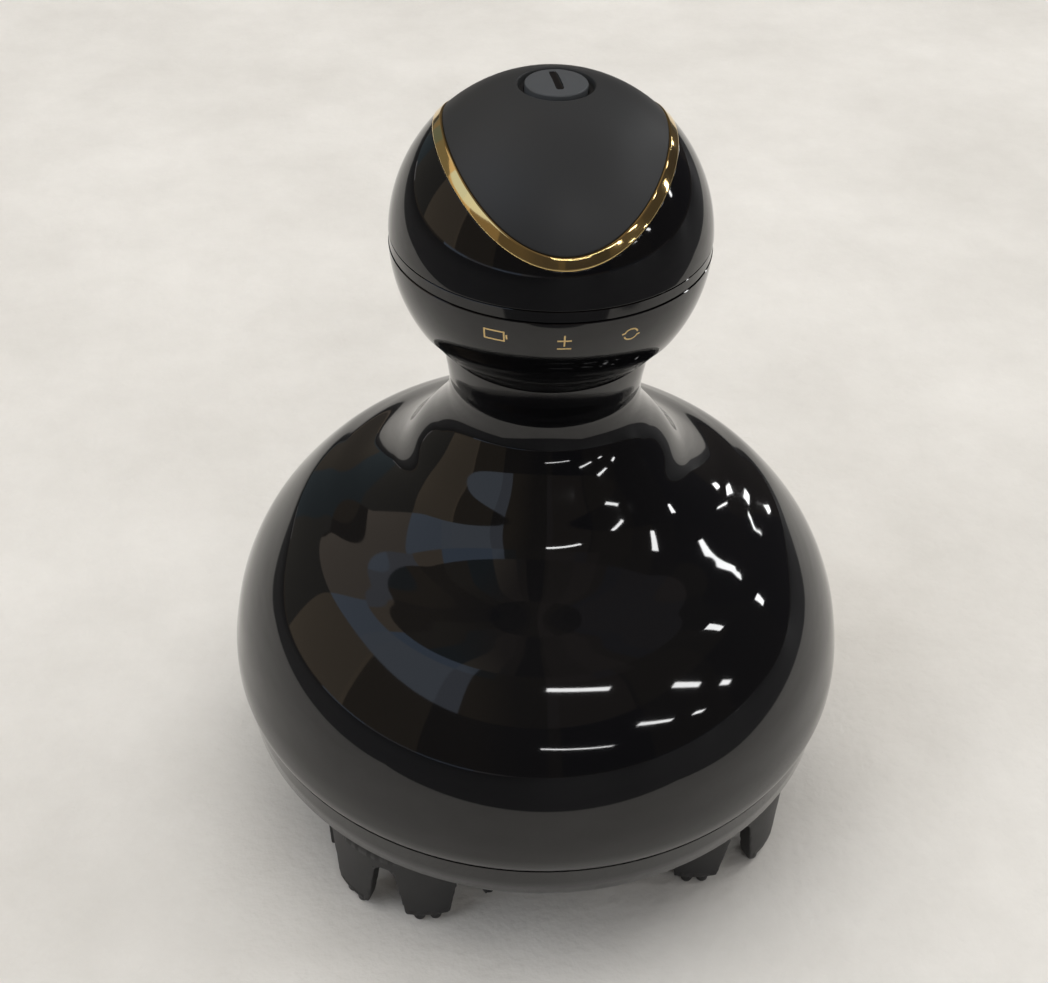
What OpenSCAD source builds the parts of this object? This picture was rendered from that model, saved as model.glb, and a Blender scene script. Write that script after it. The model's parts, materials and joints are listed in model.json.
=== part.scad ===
// Cordless scalp massager: a wide domed body on four geared claw heads,
// with a waist and a ball grip that carries the power button.
// Millimetres. Z up, origin on the surface it stands on, front towards -Y.

/* [Body] */
// Widest radius of the domed body
body_r = 57.6; // [54:0.2:62]
// Height of the widest level above the seam
body_bulge_h = 4; // [3:0.5:6]
// How far the seam with the base stands in from the widest radius
seam_in = 1; // [0.6:0.1:1.6]
// Height of the dome from its widest level to the top of the waist
dome_h = 67; // [62:0.5:74]
// Radius of the waist below the grip
waist_r = 17.6; // [16.6:0.2:20]
// Wall thickness of the body shells
body_wall = 2.6; // [2:0.1:3]
// Width of the shadow line between dome and base
seam_gap = 0.4; // [0.3:0.05:0.6]

/* [Base] */
// Height of the base band below the seam
base_h = 7.6; // [6.5:0.1:9]
// How far the base band's lower rim stands in from the seam
rim_in = 0.7; // [0.4:0.1:1.2]
// Thickness of the base floor
floor_t = 2.6; // [2:0.1:3.2]
// Depth of the floor above the lower rim
floor_up = 1; // [0.6:0.1:1.6]

/* [Grip] */
// Radius of the ball grip
grip_r = 25.9; // [24.6:0.1:28]
// Wall thickness of the grip shells
grip_wall = 2.6; // [2:0.1:3]
// How far the collar's foot stands in from the waist
collar_in = 0.15; // [0.1:0.05:0.6]
// Height of the collar
collar_h = 5.6; // [4.8:0.1:6.6]
// How far the collar stands in from the ball
collar_step = 0.25; // [0.15:0.05:0.4]
// Height of the band round the middle of the grip
band_h = 2.2; // [1.8:0.1:3]
// Depth of the fine grooves on both sides of the band
band_groove = 0.5; // [0.3:0.1:0.8]

/* [Trim] */
// Elevation of the soft cap's edge at the front, in degrees
cap_front = 21.7; // [19:0.1:25]
// Elevation of the soft cap's edge at the sides, in degrees
cap_side = 48.6; // [46:0.1:52]
// Width of the bright trim ring, in degrees of the ball
trim_deg = 4.6; // [3.5:0.1:6]
// How far the trim ring stands proud of the ball
trim_proud = 0.15; // [0.05:0.05:0.3]

/* [Button] */
// Radius of the recess round the power button
recess_r = 5.9; // [5.4:0.1:7]
// Radius of the power button
button_r = 4.8; // [4.2:0.1:5.2]
// Depth of the ring groove beside the button
groove_d = 1; // [0.8:0.1:1.4]
// Travel of the button
button_travel = 0.6; // [0.4:0.1:0.8]
// Length of the bar pressed into the button's top
bar_l = 7; // [5:0.2:7.6]
// Width of the bar
bar_w = 1.3; // [0.8:0.1:1.8]
// Depth of the bar
bar_d = 0.4; // [0.2:0.05:0.6]
// Turn of the bar about the button's axis, in degrees
bar_turn = 6.4; // [0:0.2:12]

/* [Massage heads] */
// How far the heads' outer edges stand in from the base's rim
head_in = 1.4; // [1:0.1:2]
// Turn of the four heads about the body's axis, in degrees
heads_turn = 6.2; // [0:0.2:12]
// Outer radius of a head at the roots of its fingers
head_r = 17.9; // [17.4:0.1:18.4]
// How far the fingertips stand in from that radius
palm_in = 0.2; // [0.1:0.1:1]
// Height of the fingertips' palms above the surface
palm_z = 2; // [1.6:0.1:2.6]
// Number of fingers on a head
fingers = 7; // [6:1:8]
// Radial thickness of a finger
finger_t = 3.8; // [3.4:0.1:4.2]
// Width of the gap between fingers at the palms
finger_gap = 7.4; // [6.6:0.1:8]
// Width of the gap between fingers at the roots
root_gap = 4; // [3.4:0.1:4.6]
// Height of the arches between the fingers
arch_z = 15; // [13.5:0.1:15.6]
// Thickness of the head's disc
disc_t = 3.6; // [3:0.1:4]
// Radius of a fingertip ball
tip_r = 1.15; // [0.9:0.05:1.35]
// Spacing of the two balls on a finger
tip_pitch = 2.9; // [2.6:0.1:3.4]
// Flat worn on each ball where it touches the surface
tip_flat = 0.1; // [0.05:0.05:0.2]
// Number of inner fingers on a head
inner_fingers = 4; // [4:1:5]
// Radius of the circle of inner fingers
inner_r = 8.4; // [8.2:0.1:8.6]
// Turn of the left front head's fingers
turn_left = 14; // [0:1:45]
// Turn of the right front head's fingers
turn_right = 11; // [0:1:45]

/* [Gear train] */
// Teeth on each output gear
gear_teeth = 24; // [22:1:25]
// Teeth on the central gear that drives them
sun_teeth = 36; // [35:1:38]
// Teeth on the motor's pinion
pinion_teeth = 12; // [12:1:13]
// Teeth on the reduction wheel
wheel_teeth = 50; // [48:1:52]
// Module of the motor stage
motor_module = 0.6; // [0.58:0.01:0.64]
// Play between meshing teeth
backlash = 0.16; // [0.12:0.01:0.2]
// Face width of the output gears
gear_t = 6; // [5:0.5:6.5]
// Face width of the reduction wheel
wheel_t = 4; // [3:0.5:4.5]
// Radius of the head spindles
spindle_r = 4; // [3.6:0.1:4.5]
// Side of the square end that drives a head
square_w = 5.2; // [4.6:0.1:5.6]
// Radius of the hard hub in a head
hub_r = 5.2; // [5:0.1:5.4]
// Radius of the reduction axle
axle_r = 1.5; // [1.2:0.1:1.8]
// Radius of the motor can
motor_r = 12.2; // [11:0.1:13]
// Length of the motor can
motor_l = 20; // [18:0.5:21]
// Radius of the motor shaft
motor_shaft_r = 1.15; // [1:0.05:1.3]
// Thickness of the gear deck
deck_t = 2.6; // [2.2:0.1:3]

/* [Inside the grip] */
// Radius of the battery cell
cell_r = 9; // [8.4:0.1:9.2]
// Length of the battery cell
cell_l = 50; // [46:0.5:52]
// Wall of the battery cradle
cradle_wall = 1.6; // [1.2:0.1:2]
// Thickness of the circuit boards
board_t = 1.6; // [1.2:0.1:1.8]

/* [Charging pad] */
// Width of the charging pad
pad_w = 15; // [13:0.2:17]
// Height of the charging pad
pad_h = 6; // [5:0.2:6.6]
// Height of the pad's centre above the seam
pad_up = 7; // [6:0.2:8]
// Radius of a charging contact
contact_r = 1.5; // [1.2:0.1:1.8]
// Spacing of the charging contacts
contact_pitch = 8; // [7:0.2:9]

/* [Fits] */
// Running clearance of a shaft in its bore
running_fit = 0.05; // [0.03:0.01:0.09]
// Clearance of a sliding or dropped-in piece
slide_fit = 0.15; // [0.1:0.01:0.2]
// Play between moving pieces that pass each other
pass_gap = 1; // [0.8:0.1:1.4]

/* [Hidden] */
$fn = 96;

seam_r = body_r - seam_in;
rim_r = seam_r - rim_in;
palm_r = head_r - palm_in;

// ---- levels, from the surface upwards
disc_z1 = arch_z + 1 + disc_t;              // top of a head's disc
seal_t = 0.8;
floor_z0 = disc_z1 + pass_gap + seal_t;     // underside of the base floor
floor_z1 = floor_z0 + floor_t;
rim_z = floor_z0 - floor_up;
seam_z = rim_z + base_h;
wide_z = seam_z + body_bulge_h;
waist_z = wide_z + dome_h;                  // where the grip's collar sits
grip_up = sqrt(pow(grip_r - collar_step, 2) - pow(waist_r - collar_in, 2));
grip_z = waist_z + grip_up;                 // centre of the ball
band_z0 = grip_z - 0.6;
band_z1 = band_z0 + band_h;
collar_z1 = waist_z + collar_h;
gear_z0 = floor_z1 + 3;
gear_z1 = gear_z0 + gear_t;
wheel_z0 = gear_z1 + pass_gap;
wheel_z1 = wheel_z0 + wheel_t;
deck_z0 = wheel_z1 + 1.6;
deck_z1 = deck_z0 + deck_t;
motor_z1 = deck_z1 + motor_l;

// ---- outline of the dome: fractions of the span from waist to widest
// radius, and of the height from the widest level to the waist
dome_shape = [
    [1.000, 0.000], [0.987, 0.085], [0.938, 0.200], [0.840, 0.318],
    [0.680, 0.434], [0.535, 0.493], [0.360, 0.545], [0.218, 0.612],
    [0.112, 0.697], [0.044, 0.800], [0.008, 0.905], [0.000, 1.000]
];
function dome_pt(k) = [
    waist_r + (body_r - waist_r) * dome_shape[k][0],
    wide_z + dome_h * dome_shape[k][1]
];
last_pt = len(dome_shape) - 1;
function knot(k) = k < 0 ? [dome_pt(1)[0], 2 * wide_z - dome_pt(1)[1]]
    : k > last_pt ? [waist_r, waist_z + 8] : dome_pt(k);
// smooth curve through the knots, and its direction
function smooth(a, b, c, d, t) = 0.5 * (2 * b + (c - a) * t
    + (2 * a - 5 * b + 4 * c - d) * t * t
    + (3 * b - a - 3 * c + d) * t * t * t);
function slope(a, b, c, d, t) = 0.5 * ((c - a)
    + 2 * (2 * a - 5 * b + 4 * c - d) * t
    + 3 * (3 * b - a - 3 * c + d) * t * t);
spans = 5;
function inset(k, t, wall) =
    let (p = smooth(knot(k - 1), knot(k), knot(k + 1), knot(k + 2), t),
         s = slope(knot(k - 1), knot(k), knot(k + 1), knot(k + 2), t))
    p + wall * [-s[1], s[0]] / norm(s);
function dome_curve(wall) = concat(
    [for (k = [0:last_pt - 1], i = [0:spans - 1]) inset(k, i / spans, wall)],
    [[waist_r - wall, waist_z]]);
// body below the widest level: a gentle tuck down to the seam and the rim
tuck_n = 6;
function tuck_r(z) = z >= seam_z
    ? seam_r + (body_r - seam_r) * (1 - pow((wide_z - z) / (wide_z - seam_z), 2))
    : seam_r + (rim_r - seam_r) * (seam_z - z) / base_h;

// a solid of the body's outer form, shrunk by a wall
module dome_solid(wall) {
    rotate_extrude($fn = 180)
        polygon(concat([[0, waist_z], [0, seam_z]],
            [for (i = [0:tuck_n - 1])
                let (z = seam_z + (wide_z - seam_z) * i / tuck_n)
                [tuck_r(z) - wall, z]],
            dome_curve(wall)));
}

// ring of a rectangular section
module ring(r0, r1, z0, z1) {
    translate([0, 0, z0]) difference() {
        cylinder(r = r1, h = z1 - z0);
        translate([0, 0, -1]) cylinder(r = r0, h = z1 - z0 + 2);
    }
}

// ---- gears
pressure = 20;
function gear_pt(rad, ang) = [rad * cos(ang), rad * sin(ang)];
// half the angle that a tooth takes at radius rad, by the involute
function inv_deg(rad, base) = rad <= base ? 0
    : sqrt(pow(rad / base, 2) - 1) * 180 / PI - acos(base / rad);
function half_tooth(rad, m, z) =
    let (rp = m * z / 2, rb = rp * cos(pressure))
    90 / z - backlash / 2 / rp * 180 / PI / 2
        + inv_deg(rp, rb) - inv_deg(rad, rb);
function gear_outline(m, z) =
    let (rp = m * z / 2, rt = rp + 0.9 * m, rr = rp - 1.2 * m,
         rb = max(rp * cos(pressure), rr + 0.05 * m))
    [for (i = [0:z - 1], q = [[rr, -1.25], [rb, -1], [rp, -1], [rt, -1],
                              [rt, 1], [rp, 1], [rb, 1], [rr, 1.25]])
        gear_pt(q[0], i * 360 / z + q[1] * half_tooth(max(q[0], rb), m, z))];
module gear(m, z, t, bore) {
    difference() {
        linear_extrude(t) polygon(gear_outline(m, z));
        translate([0, 0, -1]) cylinder(r = bore, h = t + 2);
    }
}
function part_of(x) = x - floor(x);
// turn that lets gear z2 mesh with gear z1, seen along dir from z1 to z2
function mesh_turn(z1, turn1, z2, dir) =
    dir + 180 + 360 / z2 * (part_of((dir - turn1) * z1 / 360) + 0.5);

// the central gear drives four output gears round it, all one way
head_span = rim_r - head_in - head_r;
head_dir = [for (k = [0:3]) 45 + 90 * k + heads_turn];
head_at = [for (d = head_dir) head_span * [cos(d), sin(d)]];
out_module = 2 * head_span / (gear_teeth + sun_teeth);
gear_turn = [for (k = [0:3]) mesh_turn(sun_teeth, 0, gear_teeth, head_dir[k])];
reduction_at = [0, 0];
wheel_span = motor_module * (wheel_teeth + pinion_teeth) / 2;
motor_dir = 270 + heads_turn;
motor_at = wheel_span * [cos(motor_dir), sin(motor_dir)];
motor_turn = mesh_turn(wheel_teeth, 0, pinion_teeth, motor_dir);
head_turn = [turn_left, turn_right, turn_left, turn_right];

between = [for (a = [0:90:270]) a + heads_turn];  // bearings of pillars and legs

// ---- outer shells
module dome_shell() {
    color([0.03, 0.03, 0.035]) difference() {
        union() {
            difference() {
                dome_solid(0);
                dome_solid(body_wall);
            }
            // screw pillars, tied to the wall by a web
            for (a = between) rotate(a) intersection() {
                union() {
                    translate([pillar_at, 0, floor_z1])
                        cylinder(r = pillar_r, h = pillar_h);
                    translate([pillar_at, -web_t / 2, seam_z + seam_gap])
                        cube([body_r - pillar_at, web_t, pillar_h - seam_z + floor_z1 - seam_gap]);
                }
                dome_envelope();
            }
        }
        // bottom edge, above the seal
        translate([0, 0, seam_z - 1])
            difference() {
                cylinder(r = body_r + 1, h = 1 + seam_gap / 2);
                for (a = between) rotate(a)
                    translate([pillar_at, 0, -1]) cylinder(r = pillar_r, h = 4);
            }
        for (a = between) rotate(a)
            translate([pillar_at, 0, floor_z1 - 1])
                cylinder(r = screw_r - 0.2, h = screw_l - floor_t + 2);
        // seat of the charging pad
        pad_block(pad_w, pad_h, body_r + 2);
    }
}
pillar_r = 3.2;
pillar_at = seam_r - body_wall - pillar_r - 1;
pillar_h = 16;
web_t = 2;
screw_r = 1.3;
screw_l = 10;
module dome_envelope() {
    dome_solid(body_wall / 2);
    translate([0, 0, floor_z1]) cylinder(r = seam_r - body_wall - 0.4, h = seam_z - floor_z1 + 0.2);
}

module base_shell() {
    color([0.03, 0.03, 0.035]) difference() {
        rotate_extrude($fn = 180) polygon([
            [0, floor_z0], [rim_r - 4, floor_z0], [rim_r - 3, rim_z + 0.3],
            [rim_r - 2.4, rim_z], [rim_r - 0.9, rim_z], [rim_r - 0.25, rim_z + 0.25],
            [tuck_r(rim_z + 0.9), rim_z + 0.9],
            [tuck_r(seam_z - seam_gap / 2), seam_z - seam_gap / 2],
            [seam_r - body_wall, seam_z - seam_gap / 2],
            [seam_r - body_wall, floor_z1], [0, floor_z1]]);
        for (p = head_at) translate([p[0], p[1], floor_z0 - 1])
            cylinder(r = bush_r, h = floor_t + 2);
        for (a = between) rotate(a) {
            translate([pillar_at, 0, floor_z0 - 1])
                cylinder(r = screw_r + 0.2, h = floor_t + 2);
            translate([pillar_at, 0, floor_z0 - 1])
                cylinder(r = screw_head_r + 0.3, h = 1 + screw_head_t);
            translate([leg_at, 0, floor_z0 - 1])
                cylinder(r = screw_r + 0.2, h = floor_t + 2);
            translate([leg_at, 0, floor_z0 - 1])
                cylinder(r = screw_head_r + 0.3, h = 1 + screw_head_t);
        }
        // blind seat of the reduction axle
        translate([reduction_at[0], reduction_at[1], floor_z1 - axle_seat])
            cylinder(r = axle_r, h = axle_seat + 1);
    }
}
screw_head_r = 2.4;
screw_head_t = 1.2;
axle_seat = 1.2;

module body_seal() {
    color([0.02, 0.02, 0.02])
        ring(seam_r - body_wall, seam_r - 0.6, seam_z - seam_gap / 2, seam_z + seam_gap / 2);
}

// ball shell between two radii
module ball(r) { translate([0, 0, grip_z]) sphere(r = r, $fn = 120); }
module ball_shell(r0, r1) { difference() { ball(r1); ball(r0); } }
module slab(z0, z1) {
    translate([-1.5 * grip_r, -1.5 * grip_r, z0])
        cube([3 * grip_r, 3 * grip_r, z1 - z0]);
}
module collar() {
    color([0.03, 0.03, 0.035]) difference() {
        intersection() { ball(grip_r - collar_step); slab(waist_z, collar_z1); }
        translate([0, 0, waist_z - 1]) cylinder(r = waist_r - body_wall, h = collar_h + 2);
    }
}
module grip_lower_shell() {
    color([0.03, 0.03, 0.035]) intersection() {
        ball_shell(grip_r - grip_wall, grip_r);
        slab(collar_z1, band_z0);
    }
}
module grip_band() {
    r1 = grip_r - 0.1;
    color([0.04, 0.04, 0.045]) rotate_extrude($fn = 120) polygon([
        [grip_r - grip_wall, band_z0], [r1 - band_groove, band_z0],
        [r1 - band_groove, band_z0 + 0.2], [r1, band_z0 + 0.2],
        [r1, band_z1 - 0.2], [r1 - band_groove, band_z1 - 0.2],
        [r1 - band_groove, band_z1], [grip_r - grip_wall, band_z1]]);
}

// a saddle cut across the ball: a cylinder along X whose top line passes
// through the side and front elevations of the edge
module saddle(side, front) {
    zs = grip_r * sin(side);
    zf = grip_r * sin(front);
    y = grip_r * cos(front);
    drop = zs - zf;
    rad = (y * y + drop * drop) / (2 * drop);
    translate([-grip_r - 5, 0, grip_z + zs - rad]) rotate([0, 90, 0])
        cylinder(r = rad, h = 2 * grip_r + 10, $fn = 180);
}
module cap_edge() { saddle(cap_side, cap_front); }
module trim_edge() { saddle(cap_side - trim_deg, cap_front - trim_deg); }
module grip_upper_shell() {
    color([0.03, 0.03, 0.035]) intersection() {
        ball_shell(grip_r - grip_wall, grip_r);
        slab(band_z1, grip_z + grip_r);
        trim_edge();
    }
}
module trim_ring() {
    color([0.85, 0.66, 0.28]) difference() {
        intersection() {
            ball_shell(grip_r - grip_wall, grip_r + trim_proud);
            slab(band_z1, grip_z + grip_r);
            cap_edge();
        }
        trim_edge();
    }
}
module soft_cap() {
    color([0.17, 0.17, 0.18]) difference() {
        intersection() {
            ball_shell(grip_r - grip_wall, grip_r);
            slab(band_z1, grip_z + grip_r + 1);
        }
        cap_edge();
        translate([0, 0, grip_z]) cylinder(r = recess_r, h = grip_r + 1);
    }
}

// ---- power button, its gasket and switch
function ball_z(r, at) = grip_z + sqrt(r * r - at * at);
gasket_z1 = ball_z(grip_r, recess_r) - groove_d;
gasket_z0 = ball_z(grip_r - grip_wall, recess_r);
lip_w = 2;                                  // lip that holds the gasket under the cap
lip_t = 1.2;
lip_down = 0.8;
module button_gasket() {
    color([0.02, 0.02, 0.02]) difference() {
        union() {
            ring(button_r + slide_fit, recess_r, gasket_z0 - lip_down, gasket_z1);
            ring(button_r + slide_fit, recess_r + lip_w, gasket_z0 - lip_down - lip_t, gasket_z0 - lip_down);
        }
        // the lip fits the inside of the cap
        difference() {
            slab(gasket_z0 - lip_down - lip_t - 0.1, gasket_z1);
            ball(grip_r - grip_wall);
            cylinder(r = recess_r, h = gasket_z1 + 1);
        }
    }
}
button_sink = 0.1;
bar_edge = 0.9;                             // from the button's edge to the bar
stem_r = 1.4;
module power_button() {
    color([0.05, 0.05, 0.055]) difference() {
        union() {
            intersection() {
                translate([0, 0, gasket_z0 - 1.2])
                    cylinder(r = button_r, h = 8);
                ball(grip_r - button_sink);
            }
            translate([0, 0, switch_z1 + 0.02])
                cylinder(r = stem_r, h = gasket_z0 - 1.2 - switch_z1 + 0.5);
        }
        // bar in the top, from the back edge towards the front
        rotate(bar_turn) translate([0, button_r - bar_edge - bar_l, grip_z + grip_r - button_sink - bar_d]) {
            translate([-bar_w / 2, 0, 0]) cube([bar_w, bar_l, bar_d + 1]);
            cylinder(r = bar_w / 2, h = bar_d + 1);
        }
    }
}
switch_h = 3.4;
switch_body_h = 2;
switch_z1 = gasket_z0 - 1.2 - button_travel - 1;
switch_z0 = switch_z1 - switch_h;
module tact_switch() {
    color([0.1, 0.1, 0.1]) {
        translate([-3, -3, switch_z0]) cube([6, 6, switch_body_h]);
        translate([0, 0, switch_z0]) cylinder(r = 1.75, h = switch_h - button_travel);
    }
}
board_z1 = switch_z0;
board_z0 = board_z1 - board_t;
board_r = sqrt(pow(grip_r - grip_wall, 2) - pow(board_z1 - grip_z, 2));
module switch_board() {
    color([0.05, 0.3, 0.15]) translate([0, 0, board_z0])
        cylinder(r = board_r, h = board_t);
}

// ---- battery and boards
post_r = 1.6;
lead_w = 6;                                 // width of the leads' window
cradle_z0 = deck_z1 + motor_l + 4;
module battery_cradle() {
    r0 = cell_r + slide_fit;
    r1 = r0 + cradle_wall;
    color([0.12, 0.12, 0.13]) {
        difference() {
            union() {
                translate([0, 0, cradle_z0]) cylinder(r = r1, h = cell_l);
                translate([0, 0, waist_z]) cylinder(r = waist_r - body_wall, h = 4);
                // posts that carry the switch board
                for (a = [45:90:315]) rotate(a) translate([r1 + post_r + 0.4, 0, waist_z + 3])
                    cylinder(r = post_r, h = board_z0 - waist_z - 3);
            }
            translate([0, 0, cradle_z0 + cradle_wall]) cylinder(r = r0, h = cell_l);
            // side window for the leads
            translate([0, -lead_w / 2, waist_z + 8]) cube([r1 + 2, lead_w, cell_l]);
        }
    }
}
module battery_cell() {
    color([0.2, 0.4, 0.6]) translate([0, 0, cradle_z0 + cradle_wall]) {
        cylinder(r = cell_r, h = cell_l);
        translate([0, 0, cell_l]) cylinder(r = 2.8, h = 1);
    }
}
main_w = 26;
main_d = 14;
main_y = 6;
module main_board() {
    color([0.05, 0.3, 0.15]) translate([-main_w / 2, main_y, deck_z1])
        cube([main_w, main_d, board_t]);
}
chip_w = 7;                                 // controller
chip_t = 1.2;
chip_in = 3;
driver_w = 4;                               // motor driver
driver_d = 5;
can_r = 2;                                  // smoothing capacitor
can_h = 5;
can_at = 8;
module board_chips() {
    color([0.06, 0.06, 0.06]) {
        translate([-chip_in, main_y + chip_in, deck_z1 + board_t]) cube([chip_w, chip_w, chip_t]);
        translate([chip_w, main_y + chip_in, deck_z1 + board_t]) cube([driver_w, driver_d, chip_t]);
        translate([-can_at, main_y + driver_d, deck_z1 + board_t]) cylinder(r = can_r, h = can_h);
    }
}

// ---- gear deck on four legs
leg_r = 3.4;
leg_at = pillar_at - pillar_r - leg_r - 1.6;
deck_r = leg_at + leg_r - 1;
window_r = 5;
module gear_deck() {
    color([0.75, 0.75, 0.72]) difference() {
        union() {
            translate([0, 0, deck_z0]) cylinder(r = deck_r, h = deck_t);
            for (a = between) rotate(a) translate([leg_at, 0, floor_z1])
                cylinder(r = leg_r, h = deck_z0 - floor_z1 + 1);
        }
        for (p = head_at) translate([p[0], p[1], deck_z0 - 1])
            cylinder(r = spindle_r + running_fit, h = deck_t + 2);
        translate([reduction_at[0], reduction_at[1], deck_z0 - 1])
            cylinder(r = axle_r, h = deck_t + 2);
        translate([motor_at[0], motor_at[1], deck_z0 - 1])
            cylinder(r = motor_boss_r, h = deck_t + 2);
        for (a = between) rotate(a) translate([leg_at, 0, floor_z1 - 1])
            cylinder(r = screw_r - 0.2, h = screw_l - floor_t + 2);
        // lightening windows between the bearings, none under the motor
        for (a = [0:90:180]) rotate(a + heads_turn)
            translate([leg_at - leg_r - window_r - 2, 0, deck_z0 - 1])
                cylinder(r = window_r, h = deck_t + 2);
    }
}
motor_boss_r = 3;
module motor_can() {
    color([0.7, 0.7, 0.72]) difference() {
        union() {
            translate([motor_at[0], motor_at[1], deck_z1]) cylinder(r = motor_r, h = motor_l);
            translate([motor_at[0], motor_at[1], deck_z0]) cylinder(r = motor_boss_r, h = deck_t + 1);
        }
        translate([motor_at[0], motor_at[1], deck_z0 - 1])
            cylinder(r = motor_shaft_r + running_fit, h = motor_l);
    }
}
module motor_pinion() {
    z1 = wheel_z0 - 0.4;
    color([0.8, 0.75, 0.4]) translate([motor_at[0], motor_at[1], 0]) {
        translate([0, 0, z1]) cylinder(r = motor_shaft_r, h = deck_z0 - z1 + motor_l - 4);
        translate([0, 0, z1]) rotate(motor_turn)
            gear(motor_module, pinion_teeth, wheel_t + 0.8, motor_shaft_r - 0.3);
    }
}
sun_boss_r = axle_r + 4.5;
module reduction_gear() {
    color([0.9, 0.9, 0.86]) translate([reduction_at[0], reduction_at[1], 0])
        difference() {
            union() {
                translate([0, 0, gear_z0])
                    linear_extrude(gear_t) polygon(gear_outline(out_module, sun_teeth));
                // boss that joins the two toothed rims below the pinion's reach
                translate([0, 0, gear_z0])
                    cylinder(r = sun_boss_r, h = wheel_z0 - gear_z0 + 1);
                translate([0, 0, wheel_z0])
                    linear_extrude(wheel_t) polygon(gear_outline(motor_module, wheel_teeth));
            }
            translate([0, 0, gear_z0 - 1])
                cylinder(r = axle_r + running_fit, h = wheel_z1 - gear_z0 + 2);
        }
}
module reduction_axle() {
    color([0.75, 0.75, 0.77])
        translate([reduction_at[0], reduction_at[1], floor_z1 - axle_seat])
            cylinder(r = axle_r, h = deck_z1 - floor_z1 + axle_seat);
}

// ---- spindles with their gears, bushes and seals
bush_r = spindle_r + 2;
bush_flange = 1.4;
module spindle_bushes() {
    color([0.78, 0.6, 0.3]) for (p = head_at) translate([p[0], p[1], 0]) {
        difference() {
            union() {
                translate([0, 0, floor_z0]) cylinder(r = bush_r, h = floor_t + bush_flange);
                translate([0, 0, floor_z1]) cylinder(r = bush_r + 2, h = bush_flange);
            }
            translate([0, 0, floor_z0 - 1])
                cylinder(r = spindle_r + running_fit, h = floor_t + 4);
        }
    }
}
module spindle_seals() {
    color([0.02, 0.02, 0.02]) for (p = head_at) translate([p[0], p[1], 0])
        ring(spindle_r + running_fit, bush_r + 1.5, floor_z0 - seal_t, floor_z0);
}
hub_up = 6;
hub_z0 = palm_z + hub_up;
square_z0 = hub_z0 + 1.6;
module spindle(k) {
    color([0.75, 0.75, 0.77]) translate([head_at[k][0], head_at[k][1], 0]) {
        translate([0, 0, disc_z1]) cylinder(r = spindle_r, h = deck_z1 + 0.6 - disc_z1);
        translate([-square_w / 2, -square_w / 2, square_z0])
            cube([square_w, square_w, disc_z1 - square_z0 + 1]);
    }
}
module output_gear(k) {
    color([0.9, 0.9, 0.86])
        translate([head_at[k][0], head_at[k][1], gear_z0]) rotate(gear_turn[k])
            gear(out_module, gear_teeth, gear_t, spindle_r);
}
module head_hub(k) {
    color([0.08, 0.08, 0.08]) translate([head_at[k][0], head_at[k][1], 0])
        difference() {
            translate([0, 0, hub_z0]) cylinder(r = hub_r, h = disc_z1 - hub_z0);
            translate([-square_w / 2, -square_w / 2, square_z0])
                cube([square_w, square_w, disc_z1]);
        }
}

// ---- claw heads: a cup whose skirt is cut into fingers by arched gaps
edge_w = 0.6;                               // chamfer above the arches' tops
module finger_tip() {
    translate([0, 0, tip_r - tip_flat]) sphere(r = tip_r, $fn = 24);
    translate([0, 0, tip_r - tip_flat]) cylinder(r = tip_r, h = palm_z + 0.6 - tip_r + tip_flat, $fn = 24);
}
module claw_head(k) {
    skirt_z = disc_z1 - disc_t;
    color([0.04, 0.04, 0.045]) translate([head_at[k][0], head_at[k][1], 0])
        rotate(head_turn[k]) difference() {
            union() {
                difference() {
                    rotate_extrude() polygon([
                        [hub_r, skirt_z - 1.6], [hub_r + 1.6, skirt_z - 1.6],
                        [hub_r + 3, skirt_z], [head_r - finger_t - edge_w, skirt_z],
                        [head_r - finger_t, skirt_z - edge_w],
                        [palm_r - finger_t + 0.5, palm_z + 0.4],
                        [palm_r - finger_t + 0.9, palm_z],
                        [palm_r - 0.5, palm_z], [palm_r, palm_z + 0.6],
                        [head_r, skirt_z - edge_w], [head_r, disc_z1 - 1.8],
                        [head_r - 0.5, disc_z1 - 0.7],
                        [head_r - 1.8, disc_z1], [hub_r, disc_z1]]);
                    for (i = [0:fingers - 1]) rotate((i + 0.5) * 360 / fingers)
                        arch_gap();
                }
                for (i = [0:fingers - 1], s = [-1, 1]) rotate(i * 360 / fingers)
                    translate([palm_r - finger_t / 2 + 0.3, s * tip_pitch / 2, 0])
                        finger_tip();
                for (i = [0:inner_fingers - 1]) rotate((i + 0.5) * 360 / inner_fingers)
                    translate([inner_r, 0, 0]) {
                        translate([0, 0, palm_z]) cylinder(r1 = tip_r + 0.5, r2 = tip_r + 1.4, h = skirt_z - palm_z + 0.5, $fn = 32);
                        finger_tip();
                    }
            }
            translate([-head_r, -head_r, -3]) cube([2 * head_r, 2 * head_r, 3]);
        }
}
module arch_gap() {
    rr = root_gap / 2;
    translate([head_r - finger_t - 3, 0, 0]) rotate([90, 0, 90])
        linear_extrude(finger_t + 6) polygon(concat(
            [[-finger_gap / 2 - 0.8, -1], [-finger_gap / 2, palm_z + 1]],
            [for (a = [180:-22.5:0]) [rr * cos(a), arch_z - rr + rr * sin(a)]],
            [[finger_gap / 2, palm_z + 1], [finger_gap / 2 + 0.8, -1]]));
}

// ---- screws
module screw(x, z0) {
    translate([x, 0, z0]) difference() {
        union() {
            cylinder(r = screw_head_r, h = screw_head_t);
            cylinder(r = screw_r - 0.2, h = screw_l);
        }
        translate([-1.5, -0.3, -1]) cube([3, 0.6, 1.6]);
        translate([-0.3, -1.5, -1]) cube([0.6, 3, 1.6]);
    }
}
module case_screws() {
    color([0.6, 0.6, 0.62]) for (a = between) rotate(a) screw(pillar_at, floor_z0);
}
module deck_screws() {
    color([0.6, 0.6, 0.62]) for (a = between) rotate(a) screw(leg_at, floor_z0);
}

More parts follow.
